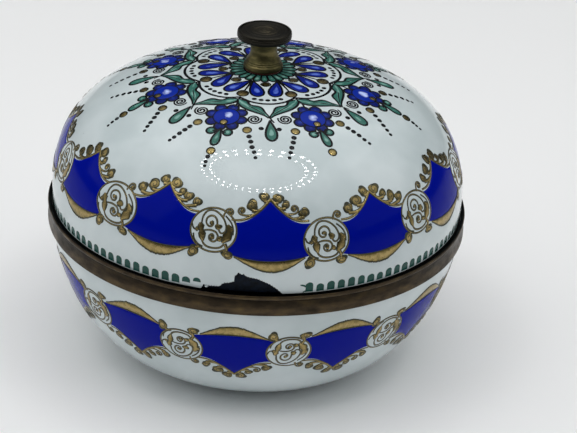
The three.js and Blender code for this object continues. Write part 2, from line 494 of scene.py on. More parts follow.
def counter_enamel():
    """Plain enamel dusted on the inside and fired once: paler blue-grey, glossy, more dimpled, and
    flecked where grains of other colours were in the dust."""
    material, tree, shader = surface("counter_enamel_dusted", Roughness=0.16, IOR=1.5)
    clouds = add(tree, "ValToRGB", {"Fac": noise(tree, 9, detail=4)},
                 stops=[(0.35, "#B4C2C6"), (0.65, "#CBD5D7")])
    flecks = add(tree, "ValToRGB", {"Fac": noise(tree, 0.8, detail=1)},
                 stops=[(0.28, "#6F8794"), (0.34, "#FFFFFF")])
    speckled(tree, shader, clouds, flecks, 0.6)
    raised(tree, shader, (noise(tree, 1.8, detail=2), 0.05))
    return material


def clouded_shade(tree, cloud, amount):
    """How full the paint lies, 0 at the edge of a stroke and 1 in its middle, made uneven by a
    cloud that moves it up and down by half the amount."""
    shade = add(tree, "Attribute", settings={"attribute_name": "shade"}).outputs["Fac"]
    lean = add(tree, "Math", {0: cloud, 1: amount, 2: -amount / 2}, {"operation": "MULTIPLY_ADD"})
    return add(tree, "Math", {0: shade, 1: lean}, {"operation": "ADD", "use_clamp": True})


def painted_enamel(name, thin, full, painted_highlight=None, rough=0.12, streak=3.0, level=0.25):
    """Coloured enamel painted by hand and fired: glossy, thinner and paler or darker at the edge
    of each stroke, with faint brush streaks. A fourth colour, when given, is a painted highlight
    that lightens the middle of a drop. Paint laid over the glaze shines less than the glaze does,
    so its specular level is low."""
    material, tree, shader = surface(name, Roughness=rough, IOR=1.5, Specular_IOR_Level=level)
    streaks = noise(tree, streak, detail=4, squeeze=(1, 1, 2.5))
    stops = [(0.0, thin), (0.45, full)]
    if painted_highlight:
        # The highest middle of each drop and stroke is painted paler as a highlight.
        stops += [(0.9, full), (1.0, painted_highlight)]
    add(tree, "ValToRGB", {"Fac": clouded_shade(tree, streaks, 0.5)}, stops=stops,
        into=shader.inputs["Base Color"])
    raised(tree, shader, (noise(tree, 1.1, detail=2), 0.012))
    return material


def fired_gilding():
    """Liquid gold brushed on and fired, then worn: dull brown-gold, darker at the edge of each
    stroke where it lies thin, with brighter rubbed spots that catch the light."""
    material, tree, shader = surface("fired_gilding_worn", Metallic=1.0)
    wear = noise(tree, 1.3, detail=3)
    add(tree, "ValToRGB", {"Fac": clouded_shade(tree, wear, 0.9)},
        stops=[(0.0, "#302D1C"), (0.3, "#5F5638"), (0.7, "#7E7046"), (1.0, "#A28F60")],
        into=shader.inputs["Base Color"])
    add(tree, "MapRange", {"Value": wear, "To Min": 0.38, "To Max": 0.17},
        into=shader.inputs["Roughness"])
    raised(tree, shader, (noise(tree, 0.7, detail=3), 0.03))
    return material


def brown_brass(name, dark, mid, bright, rough=(0.55, 0.32), grime_and_shade=None):
    """Brass turned on a lathe and left to darken: fine rings from the tool, brown patina in
    uneven clouds, and a lighter colour where fingers and the lid have rubbed it. The last argument
    darkens the colour by distance from the axis. It gives the radius in mm where the colour is
    still its own, the one where it is fully dark, and the dark colour. On the rim and its ledge this
    is painted shade, with some grime, in the joint round the lid's edge. On the knob's face it is
    patina round a worn middle."""
    material, tree, shader = surface(name, Metallic=1.0)
    cloud = noise(tree, 5, detail=6, roughness=0.55, squeeze=(1, 1, 2.5))
    colour = add(tree, "ValToRGB", {"Fac": cloud},
                 stops=[(0.3, dark), (0.5, mid), (0.74, bright)]).outputs[0]
    # Darkening by distance from the axis: painted shade with some grime in the rim's joint, patina on
    # the knob's face.
    if grime_and_shade:
        plain_radius, dark_radius, dark_colour = grime_and_shade
        place = add(tree, "TexCoord").outputs["Object"]
        flat = add(tree, "VectorMath", {0: place, 1: (1, 1, 0)}, {"operation": "MULTIPLY"})
        radius = add(tree, "VectorMath", {0: flat}, {"operation": "LENGTH"}).outputs["Value"]
        share = add(tree, "MapRange", {"Value": radius, "From Min": dark_radius * MM,
                                       "From Max": plain_radius * MM})
        colour = add(tree, "Mix", {0: share, 6: linear(dark_colour), 7: colour},
                     {"data_type": "RGBA"}).outputs[2]
    tree.links.new(colour, shader.inputs["Base Color"])
    add(tree, "MapRange", {"Value": cloud, "From Min": 0.3, "From Max": 0.7, "To Min": rough[0],
                           "To Max": rough[1]}, into=shader.inputs["Roughness"])
    # Squeezing the noise ten times tighter along Z than round the box draws it out into rings.
    rings = noise(tree, 3.5, detail=2, squeeze=(1, 1, 10))
    raised(tree, shader, (rings, 0.03), (noise(tree, 1.0, detail=4), 0.03))
    return material


def plain_material(name, low, high, size, depth, **values):
    """A matt or metal material whose colour and surface vary with noise of one size."""
    material, tree, shader = surface(name, **values)
    grain = noise(tree, size, detail=5, roughness=0.6)
    add(tree, "ValToRGB", {"Fac": grain}, stops=[(0.35, low), (0.65, high)],
        into=shader.inputs["Base Color"])
    raised(tree, shader, (grain, depth))
    return material


WHITE = white_vitreous_enamel()
INSIDE_WHITE = counter_enamel()
COBALT_GROUND = painted_enamel("cobalt_enamel_ground", "#000C6C", "#001090", streak=5, level=0.04)
# The fourth colour of the next four materials is a painted highlight on the middle of each drop and
# stroke.
COBALT = painted_enamel("cobalt_enamel_drops", "#060D3A", "#0A1E82", "#5D78D6", level=0.12)
NAVY = painted_enamel("cobalt_enamel_petals", "#030828", "#0B1A66", "#1B3494", level=0.12)
LIGHT_COBALT = painted_enamel("cobalt_enamel_flower_middles", "#081458", "#0D2A98", "#C6D4FF",
                              level=0.08)
GREEN = painted_enamel("leaf_green_enamel", "#163F38", "#346B60", "#7DAAA0")
TONGUE_GREEN = painted_enamel("bottle_green_enamel", "#0A342F", "#194B43")
INK = painted_enamel("black_enamel_line", "#0A1016", "#080C10", rough=0.25, level=0.15)
GILDING = fired_gilding()
DARK_GILDING = painted_enamel("brown_enamel_line", "#22241D", "#383A2D", rough=0.3, level=0.2)
# Near-black inside the bead's top: painted shade, with some grime, in the groove under the lid's
# edge.
RIM_BRASS = brown_brass("spun_brass_patina_painted_joint_shade", "#332D25", "#483E31", "#605138",
                        grime_and_shade=(RIM_RADIUS - 0.12, RIM_RADIUS - 0.4, "#050505"))
# The knob's face darkens towards its edge: patina, with its worn middle left brown.
HEAD_BRASS = brown_brass("turned_brass_black_patina", "#2B2822", "#454034", "#6A5F48", (0.5, 0.36),
                         grime_and_shade=(1.2, 4.6, "#2E2C27"))
STEM_BRASS = brown_brass("turned_brass_olive_patina", "#393725", "#5E593A", "#877B52")
WORN_BRASS = brown_brass("handled_brass_satin", "#7A6A43", "#9A8656", "#B59F6C", (0.4, 0.28))
# Near-black on the ledge's outer part round the lid's edge: painted shade, with some grime, between
# lid and bead.
LEDGE_BRASS = brown_brass("turned_brass_worn_collar_painted_ledge_shade", "#6E5F3C", "#937F52", "#B09A68", (0.42, 0.3),
                          grime_and_shade=(LEDGE_RADIUS - 2.4, LEDGE_RADIUS - 1.5, "#050505"))
# Copper that firing and damp have blackened: blue-black scale, rough like fine sandpaper.
COPPER_SCALE = plain_material("copper_fire_scale", "#02050A", "#0C1828", 1.6, 0.3,
                              Roughness=0.5, Specular_IOR_Level=0.12)
# Lime cement: pale, matt and gritty.
CEMENT = plain_material("lime_cement", "#9C9484", "#BDB5A4", 0.8, 0.08, Roughness=0.95)
# Vulcanised fibre, pressed and dyed red-brown: matt, with faint clouds.
FIBRE = plain_material("pressed_fibre_red", "#5E2A1F", "#7B3B2C", 1.5, 0.03, Roughness=0.75)

# ---- Shells ----

# The chip in the lid's edge: how high the enamel is gone, in mm, at azimuths in degrees.
CHIP = [(-13.4, 0.0), (-12.8, 1.3), (-11.2, 1.2), (-8.6, 1.4), (-7.9, 2.2), (-7.3, 2.6),
        (-6.2, 2.75), (-4.9, 3.3), (-4.75, 5.2), (-4.5, 5.0), (-4.2, 5.6), (-3.75, 6.0),
        (-3.1, 5.5), (-2.4, 5.65), (-1.9, 5.1), (-0.9, 4.8), (0.3, 4.6), (1.2, 4.4), (2.2, 3.9),
        (3.3, 3.4), (4.4, 2.8), (5.2, 2.2), (6.1, 1.5), (6.9, 0.7), (7.6, 0.0)]
CHIP_CENTRE = math.radians(-3)
CHIP_SPREAD = math.radians(13)


def chip_height(azimuth):
    """Height of missing enamel: straight lines between the chip's corners, with a fine jagged
    edge of three sine waves that fades out where the chip does."""
    degrees = front_degrees(azimuth)
    height = np.interp(degrees, *np.array(CHIP).T)
    jagged = (0.09 * np.sin(degrees * 9.3) + 0.07 * np.sin(degrees * 17.1 + 1)
              + 0.05 * np.sin(degrees * 31.7 + 2))
    return np.maximum(height + jagged * np.clip(height, 0, 1), 0)


def chip_azimuths():
    """Azimuths once round the lid, close together across the chip and wider apart elsewhere."""
    start, end = CHIP_CENTRE - CHIP_SPREAD, CHIP_CENTRE + CHIP_SPREAD
    near_chip = np.linspace(start, end, 260, endpoint=False)
    elsewhere = np.linspace(end, start + 2 * math.pi, 170, endpoint=False)
    return np.concatenate([near_chip, elsewhere])


def shell(body, meridian, start, *grids):
    """Three coats of the lid or the bowl, walked from start. grids gives, for each coat, the place
    where it ends, its azimuths and its rows."""
    coats = (("white_glaze", "enamel_outside", 0, ENAMEL, WHITE, "outer_enamel"),
             ("copper_sheet", "copper", COPPER_DEPTH, COPPER_DEPTH + COPPER, COPPER_SCALE, "copper"),
             ("counter_glaze", "enamel_inside", INSIDE_DEPTH, WALL, INSIDE_WHITE, "counter_enamel"))
    for (coat, node, outer, inner, material, slot), grid in zip(coats, grids):
        end, azimuths, rows = grid
        layer(f"{body}_{coat}", meridian, start, end, outer, inner, azimuths, rows, material, body,
              slot, f"{body}_{node}")


def lid_and_bowl():
    """The lid is pierced for the knob's screw and chipped at its edge, with a flake of the glaze
    left on the copper. The bowl runs from the top of its wall to the middle of its base."""
    chipped = chip_azimuths()
    shell("lid", LID, LID_HOLE, (LID.length - chip_height(chipped), chipped, 90),
          (LID.length, chipped, 60), (LID.length, azimuth_steps(180), 60))
    flake = Paint()
    above_edge = (0, 0.62)
    flake.lay(belt(LID, math.radians(-12.1), LID.length, -1),
              drop(circle(above_edge, 0.55, 12, 0.75), above_edge, base=-COPPER_DEPTH, top=0.0))
    flake.make("lid_glaze_flake", WHITE, "lid")
    shell("bowl", BOWL, 0, *[(BOWL.length, azimuth_steps(240), 90)] * 3)

# ---- Brass ----


def brass_rim():
    """Band, bead and gallery on the bowl, and the cement that beds them."""
    collar_inside = COLLAR_RADIUS - COLLAR_WALL
    bed = BOWL_RADIUS + 0.15
    neck = RIM_RADIUS - 0.3
    joint = BEAD_BOTTOM - FILM
    turned("rim_band_spun", np.concatenate([
        [(bed, BAND_BOTTOM), (RIM_RADIUS - 0.12, BAND_BOTTOM), (RIM_RADIUS, BAND_BOTTOM + 0.12)],
        bezier([(RIM_RADIUS, BAND_BOTTOM + 0.5), (RIM_RADIUS, BAND_BOTTOM + 1.6),
                (neck, BAND_BOTTOM + 2.2), (neck, joint)], 14), [(bed, joint)]]),
        RIM_BRASS, "bowl", "aged_brass", "rim_band")
    wire = RIM_RADIUS - 1.1
    turned("rim_bead_wire", np.concatenate([
        [(wire, BEAD_BOTTOM), (neck, BEAD_BOTTOM)],
        bezier([(neck, BEAD_BOTTOM + 0.1), (RIM_RADIUS + 0.1, BEAD_BOTTOM + 0.3),
                (RIM_RADIUS + 0.1, RIM_TOP - 0.05), (RIM_RADIUS - 0.4, RIM_TOP)], 12),
        [(wire, RIM_TOP - 0.3)]]), RIM_BRASS, "bowl", "aged_brass", "rim_bead")
    ledge_top = RIM_TOP - 0.1
    ledge_bottom = BAND_TOP - 0.05
    turned("rim_gallery_turned", rounded([
        (collar_inside, BAND_BOTTOM - 0.3), (COLLAR_RADIUS, BAND_BOTTOM - 0.3),
        (COLLAR_RADIUS, ledge_bottom), (LEDGE_RADIUS, ledge_bottom), (LEDGE_RADIUS, ledge_top),
        (COLLAR_RADIUS, ledge_top), (COLLAR_RADIUS, COLLAR_TOP), (collar_inside, COLLAR_TOP)],
        0.25), LEDGE_BRASS, "bowl", "worn_brass", "rim_gallery")
    inner, outer = COLLAR_RADIUS + 0.1, BOWL_RADIUS - WALL - 0.1
    turned("rim_cement_bed", rounded([
        (inner, BAND_BOTTOM), (outer, BAND_BOTTOM + 0.4), (outer, ledge_bottom - 0.1),
        (inner, ledge_bottom - 0.1)], 0.2), CEMENT, "bowl", "cement", "rim_cement")


def knob_head():
    """Thick round head with a rolled edge. Its face lies slightly lower than the edge and has
    turned rings, a cosine of the radius, and a small raised button in the middle, a bell curve."""
    under = STEM_TOP + 0.05
    bore_top = HEAD_TOP - 0.9
    side = HEAD_RADIUS
    ring_spacing, button_radius = 1.5, 1.2
    radius = np.linspace(side - 0.9, 0, 60)
    rings = 0.08 * np.cos(radius * 2 * math.pi / ring_spacing) * np.clip(radius / 1.6, 0, 1)
    button = 0.22 * np.exp(-(radius / button_radius) ** 2)
    face = HEAD_TOP - 0.35 + rings + button
    edge = np.concatenate([
        [(0, bore_top), (SCREW_HOLE, bore_top), (SCREW_HOLE, under), (4.2, under),
         (4.6, under + 0.15)],
        bezier([(side - 1.5, under + 0.15), (side + 0.1, under + 0.4), (side, under + 1.1),
                (side, under + 1.6)], 12),
        [(side - 0.14, under + 1.72), (side, under + 1.86), (side - 0.02, under + 2.1),
         (side - 0.18, under + 2.22)],
        bezier([(side - 0.05, under + 2.34), (side - 0.05, HEAD_TOP - 0.4),
                (side - 0.4, HEAD_TOP - 0.05), (side - 0.8, HEAD_TOP - 0.14)], 8)])
    turned("knob_head_turned", np.concatenate([edge, np.stack([radius, face], 1)]),
           HEAD_BRASS, "lid", "dark_brass", "knob_head")


def knob_stem():
    """Stepped foot that flares like a bell, straight neck and a thin ring under the head, bored
    through for the screw."""
    foot = STEM_BOTTOM
    steps = rounded([(SCREW_HOLE, foot), (5.6, foot), (5.4, foot + 1.2), (5.0, foot + 1.45),
                     (5.05, foot + 1.75), (4.8, foot + 1.95), (4.85, foot + 2.3),
                     (4.65, foot + 2.5)], 0.25, closed=False)
    waist = bezier([(4.6, foot + 2.65), (4.0, foot + 3.4), (3.75, foot + 4.2),
                    (3.72, foot + 5.4)], 14)
    top = rounded([(3.72, foot + 5.6), (3.72, STEM_TOP - 0.5), (4.0, STEM_TOP - 0.35),
                   (4.0, STEM_TOP - 0.1), (3.8, STEM_TOP), (SCREW_HOLE, STEM_TOP)], 0.1,
                  closed=False)
    turned("knob_stem_turned", np.concatenate([steps, waist, top]), STEM_BRASS, "lid",
           "aged_brass", "knob_stem")


def knob_fixing():
    """Seat washer over the enamel, two washers under it, and the slotted screw from inside."""
    for name, node, material, slot in (
            ("knob_seat_fibre", "knob_seat_washer", FIBRE, "fibre"),
            ("knob_fibre_ring", "knob_fibre_washer", FIBRE, "fibre"),
            ("knob_brass_ring", "knob_brass_washer", WORN_BRASS, "worn_brass")):
        low, high = span(node, 2)
        radius = span(node, 0)[1]
        section = [(SCREW_HOLE, low), (radius, low), (radius, high), (SCREW_HOLE, high)]
        turned(name, rounded(section, 0.15), material, "lid", slot, node, count=96)
    head, tip = span("knob_screw", 2)
    radius = span("knob_screw", 0)[1]
    shaft, neck = 2.0, head + 2.2
    section = [(0, head), (radius, head), (radius, neck), (shaft, neck), (shaft, tip), (0, tip)]
    screw = turned("knob_screw_slotted", rounded(section, 0.3, closed=False), WORN_BRASS, "lid",
                   "worn_brass", "knob_screw", count=96)
    slot_width, slot_depth = 0.9, 1.0
    bpy.ops.mesh.primitive_cube_add(location=(0, 0, head * MM))
    cutter = bpy.context.object
    cutter.dimensions = (4 * radius * MM, slot_width * MM, 2 * slot_depth * MM)
    bpy.context.view_layer.update()
    slot = screw.modifiers.new("slot", "BOOLEAN")
    slot.operation = "DIFFERENCE"
    slot.object = cutter
    cut = screw.evaluated_get(bpy.context.evaluated_depsgraph_get())
    mesh = bpy.data.meshes.new_from_object(cut)
    screw.modifiers.remove(slot)
    screw.data = mesh
    bpy.data.objects.remove(cutter)

# ---- Painting the crown of the lid ----

cobalt, navy, light, green, ink, gold = (Paint() for _ in range(6))


def near(u, v, size=0.12):
    """The place (u, v) with a small unsteady shift, as a brush held in the hand gives."""
    return rng.normal(0, size, 2) + (u, v)


def outlined_drop(paint, canvas, outline, centre, line=0.36):
    """A drop of colour with an ink line round it."""
    paint.lay(canvas, drop(outline, centre))
    ink.lay(canvas, ring(outline, line))


def outlined_teardrop(paint, canvas, tip, end, half_width, line=0.36):
    """The same for a teardrop, fullest two thirds of the way from its tip."""
    tip, end = np.array(tip), np.array(end)
    outlined_drop(paint, canvas, teardrop(tip, end, half_width), tip + (end - tip) * 0.66, line)


def gold_dot(canvas, centre, radius, squash=1.0, **lift):
    """A round gold spot with a fine ink edge."""
    gold.lay(canvas, dot(centre, radius, 18, squash, **lift))
    ink.lay(canvas, ring(circle(centre, radius, 24, squash), 0.17,
                         top=lift.get("top", RELIEF) + 0.03))


def green_petal_ring(petals=24):
    """Short rounded petals round the knob's foot, each outlined in ink. A petal's half-width
    grows evenly outwards, and its end is half an ellipse."""
    t = np.linspace(0, math.pi, 11)
    end = np.stack([1.04 * np.cos(t), 8.0 + 1.4 * np.sin(t)], 1)
    outline = np.concatenate([end, [(-0.82, 6.4), (-0.66, 5.3), (0.66, 5.3), (0.82, 6.4)]])
    for azimuth in azimuth_steps(petals) + math.radians(4):
        outlined_drop(green, crown(azimuth + rng.normal(0, 0.012)), outline, (0, 7.6), 0.34)


def cobalt_drops(canvas):
    """Two teardrops that lean together inside a lobe, tips at its corners."""
    for side in (-1, 1):
        outlined_teardrop(cobalt, canvas, (side * 3.35, 8.7), near(side * 2.05, 18.0), 2.15)


def scallop(canvas):
    """The lobe's rounded outline, with a row of five flattened dots inside it."""
    line = through((-7.5, 18.1), (-5.2, 20.3), (-2.7, 21.5), (0, 21.9), (2.7, 21.5), (5.2, 20.3),
                   (7.5, 18.1))
    ink.lay(canvas, stroke(line, 0.46))
    for u in np.linspace(-3.6, 3.6, 5):
        ink.lay(canvas, dot((u, 20.0 - 0.06 * u * u), 0.82, squash=0.9))


def leaf(canvas, side):
    """A long curved leaf from a lobe's corner to the middle of its outside. Its width swells and
    falls as a sine; one edge has a second, faster sine in it, so it waves, and an ink fold crosses
    the spine at the middle of the leaf."""
    spine = bezier([(side * 7.9, 19.0), (side * 7.1, 23.4), (side * 1.2, 24.8), (side * 0.2, 28.6)],
                   26)
    t = np.linspace(0, 1, 26)
    smooth = 0.06 + 1.4 * np.sin(math.pi * t ** 0.75) ** 0.9
    wavy = 0.06 + np.sin(math.pi * t ** 0.7) * (1.35 + 0.6 * np.sin(4.4 * math.pi * t - 0.6))
    left, right = (wavy, smooth) if side > 0 else (smooth, wavy)
    green.lay(canvas, stroke(spine, left, right))
    normal = beside(spine)
    for edge in (spine + normal * left[:, None], spine - normal * right[:, None]):
        ink.lay(canvas, stroke(edge, brushed(26, 0.44), top=OUTLINE))
    aside = side * np.where(t < 0.5, 1, -1) * np.minimum(left, right)
    fold = (spine + normal * (aside * np.cos(math.pi * t) ** 2 * 0.5)[:, None])[9:22]
    ink.lay(canvas, stroke(fold, brushed(len(fold), 0.2), base=ON_GROUND, top=OUTLINE))


def lobe_outside(canvas):
    """What hangs outside a lobe: a green drop between two ink dots, two spirals, two dotted rays."""
    outlined_teardrop(green, canvas, (0.0, 29.6), (0.15, 37.7), 1.75, 0.38)
    ink.lay(canvas, stroke(through((-0.5, 27.2), (0.2, 28.8), (1.1, 30.6)), brushed(24, 0.34)))
    for side in (-1, 1):
        ink.lay(canvas, dot(near(side * 2.35, 33), 0.85))
        coil = spiral(near(side * 4.0, 29.2, 0.2), 2.0, side * 2.4, 90 - side * 40)
        ink.lay(canvas, stroke(coil, brushed(46, 0.36, tail=0.8)))
        start = near(side * 6.6, 33.6, 0.25)
        gold_dot(canvas, start, 1.2)
        ray = near(side * 4.6, 43.4, 0.25) - start
        for share, radius in zip((0.25, 0.44, 0.63, 0.81, 0.98), (0.88, 0.86, 0.84, 0.74, 0.62)):
            ink.lay(canvas, dot(near(*start + ray * share, 0.06), radius))


def flower(canvas):
    """Eight navy petals round a cobalt disc, thickly laid, with a painted highlight in the middle
    of the disc, and a gold spot near its edge."""
    petals, petal_reach, petal_radius, disc_radius = 8, 4.25, 1.55, 3.6
    centre = near(0, 29.9, 0.2)
    turn = rng.normal(0, 0.12)
    for angle in azimuth_steps(petals) + turn:
        spot = centre + petal_reach * np.array([math.cos(angle), math.sin(angle)])
        outlined_drop(navy, canvas, circle(spot, petal_radius, 20), spot, 0.34)
    disc = circle(centre, disc_radius, 32)
    # The disc's peak, where its painted highlight falls, sits a little off its middle.
    light.lay(canvas, drop(disc, centre + (0.2, -0.5), base=RELIEF, top=THICK))
    ink.lay(canvas, ring(disc, 0.14, base=ON_GROUND, top=HIGH))
    gold_dot(canvas, centre + (0.1, 2.5), 1.0, base=HIGH, top=THICK + 0.03)


def flower_stem(canvas, dots):
    """Ink stem above the flower; below it two round leaves, a drop, a gold spot and ink dots."""
    ink.lay(canvas, stroke(through((0, 9.6), (0.1, 13), (0, 16.4)), brushed(24, 0.4)))
    gold_dot(canvas, near(0, 17.5), 1.6, top=OUTLINE)
    ink.lay(canvas, stroke(through((0, 19.2), (0.5, 22.5), (0.3, 26)), brushed(24, 0.4)))
    fork = (0.0, 34.6)
    for side in (-1, 1):
        middle = near(side * 2.15, 36.1)
        ink.lay(canvas, stroke(through(fork, (side * 0.9, 35.9), middle), 0.32))
        outlined_drop(green, canvas, circle(middle, 1.2, 20), middle)
    outlined_teardrop(green, canvas, fork, near(0, 41.2), 1.3)
    gold_dot(canvas, near(0, 43.2), 1.15)
    for i in range(dots):
        ink.lay(canvas, dot(near(0, 45.2 + 1.4 * i, 0.08), 0.78 - 0.12 * i))


def paint_crown():
    """Everything on the top of the lid, lobe by lobe."""
    green_petal_ring()
    for k in range(LOBES):
        lobe = math.radians(LOBE_TURN + 360 / LOBES * k)
        canvas = crown(lobe)
        gold_dot(canvas, near(0, 11.0), 1.35, 0.95)
        cobalt_drops(canvas)
        scallop(canvas)
        leaf(canvas, -1)
        leaf(canvas, 1)
        lobe_outside(canvas)
        between = crown(lobe + math.pi / LOBES)
        flower(between)
        flower_stem(between, dots=0 if k == 0 else 3)
    for paint, name, material in (
            (cobalt, "cobalt_drops", COBALT), (navy, "flower_petals", NAVY),
            (light, "flower_middles", LIGHT_COBALT), (green, "green_leaves", GREEN),
            (ink, "ink_lines", INK), (gold, "gold_dots", GILDING)):
        paint.make("crown_" + name, material, "lid")

# ---- Painting the belts of the lid and the bowl ----

MEDALLION = (6.35, 5.8)                       # half-axes of a medallion, round and across
CUSP = 9.9                                    # the panel's point, above the medallions' middles
SHOULDER = 3.6                                # where its upper edge meets the medallion
CORNER = -4.6                                 # its lower corners
SAG = -6.3                                    # its lower edge in the middle
SWAG = -9.1                                   # bottom of the gilt swag
REACH = 11.4                                  # half a panel's width, to under the medallions
LEVEL = 9.5                                   # where its upper edge has levelled out
LINE_REACH = 10.6                             # half the width of the gold line along that edge
SWAG_REACH = 9.3                              # half the swag's width
BROAD = 1.17                                  # how much broader one of the lid's medallions is


def panel_top(x):
    """Height of a panel's upper edge, x from its point: it falls from the cusp to the shoulder as
    one less a power of the distance left, so it is steep at the cusp and level at the medallion."""
    left = np.clip(1 - np.abs(x) / LEVEL, 0, 1)
    return CUSP - (CUSP - SHOULDER) * (1 - left ** 1.9)


def panel_bottom(x):
    """Height of a panel's lower edge: a flat cosine between its corners."""
    return CORNER + (SAG - CORNER) * np.cos(np.clip(x / REACH, -1, 1) * math.pi / 2) ** 0.8


# A canvas, and the gold and the brown paint that are laid on it together.
Gilder = namedtuple("Gilder", "canvas gilt line")


def gilded(on, path, width, edge=0.15, base=0.0, top=HIGH):
    """A gilt stroke between dark edges: a wider and lower brown stroke with a gold one on it."""
    on.line.lay(on.canvas, stroke(path, width + edge, base=base, top=top - 0.03))
    on.gilt.lay(on.canvas, stroke(path, width, base=base + 0.02, top=top))


def gilt_spot(on, centre, radius, squash=1.0, edge=0.16, top=0.15):
    """A gilt spot on a slightly larger brown one, both with uneven edges."""
    on.line.lay(on.canvas, blot(centre, radius, squash, base=0.03, top=top - 0.03))
    on.gilt.lay(on.canvas, blot(centre, radius - edge, squash, base=ON_GROUND, top=top))


def curl(on, centre, radius, side, root, end=-90, filled=True, squash=0.9):
    """A gilt comma. A dark line winds out of its middle to the angle called end, and runs on as a
    tail that bends to its root. Its head is filled with gold, or only its eye is."""
    turns = side * 1.3
    coil = spiral((0, 0), radius * 0.9, -turns, end + 360 * turns, inner=0.25, count=30)
    path = coil * (1, squash) + centre
    last = path[-1]
    way = (last - path[-2]) / np.linalg.norm(last - path[-2])
    bend = last + way * np.linalg.norm(root - last) * 0.55
    tail = bezier([last, bend, (bend + root) / 2, root], 14)
    gilded(on, tail, np.linspace(0.42 if filled else 0.16, 0.2, 14))
    if filled:
        gilt_spot(on, centre, radius * 1.04, squash)
        on.line.lay(on.canvas, stroke(path, 0.17, base=ON_GROUND, top=0.18))
    else:
        gilded(on, path, 0.1, 0.2)
        gilt_spot(on, centre, radius * 0.42)


def belt_panel(on, ground):
    """One cobalt panel, its gold upper line, and the gilt swag along its lower edge. The line is
    broad at the cusp and thins towards the medallion, where a little white shows under it. The
    swag's depth is a power of a cosine that leans to one side, and its lower edge is uneven."""
    x = REACH * (2 * edged(41) - 1)
    top, bottom = panel_top(x), panel_bottom(x)
    w = top + (bottom - top) * edged(15)[:, None]
    ground.lay(on.canvas, flat_patch(np.broadcast_to(x, w.shape), w, top=0.03))
    out = np.linspace(0, 1, 30)
    for side in (-1, 1):
        reach = side * (0.02 + LINE_REACH * out)
        edge = np.stack([reach, panel_top(reach) + 0.25 + 0.4 * out], 1)
        gilded(on, edge, 0.4 - 0.27 * out ** 0.7)
    across = np.linspace(-1, 1, 61)
    reach = SWAG_REACH * across
    edge = panel_bottom(reach)
    fade = 1 - across ** 2
    lean = across + rng.normal(0, 0.1) * fade
    depth = (SAG - SWAG) * np.clip(np.cos(lean * math.pi / 2), 0, 1) ** 1.2 + 0.35
    depth += rng.normal(0, 0.07, 61) * fade
    swag = stroke(np.stack([reach, edge - depth / 2 + 0.1], 1), depth / 2, top=HIGH)
    on.gilt.lay(on.canvas, swag)
    for height, width in ((edge - depth + 0.12, 0.2), (edge + 0.02, 0.12)):
        line = stroke(np.stack([reach, height], 1), width, base=0.0, top=HIGH + 0.02)
        on.line.lay(on.canvas, line)


def panel_curls(on):
    """Curls down each side of a panel's point, their tails laid back along the gold line towards
    the point. The last on the left grows from the medallion instead."""
    for side, heads in ((-1, ((2.0, 0.7, 1.5, 0.1), (5.0, -1.4, 1.6, 1.3), (8.1, -3.1, 1.4, 4.2))),
                        (1, ((2.0, 0.5, 1.6, 0.1), (4.3, -1.3, 1.2, 0.9), (6.8, -2.4, 1.45, 2.6),
                             (9.4, -3.4, 1.4, 6.2)))):
        for i, (x, w, radius, foot) in enumerate(heads):
            spot = near(side * x, CUSP + w)
            curl(on, spot, radius * rng.uniform(0.92, 1.06), side,
                 (side * foot, panel_top(foot) + 0.5), filled=i != 2 or rng.uniform() < 0.4)
    curl(on, near(-11.4, CUSP - 4.0), 1.3, -1, (-12.9, CUSP - 5.4), end=170, filled=False)


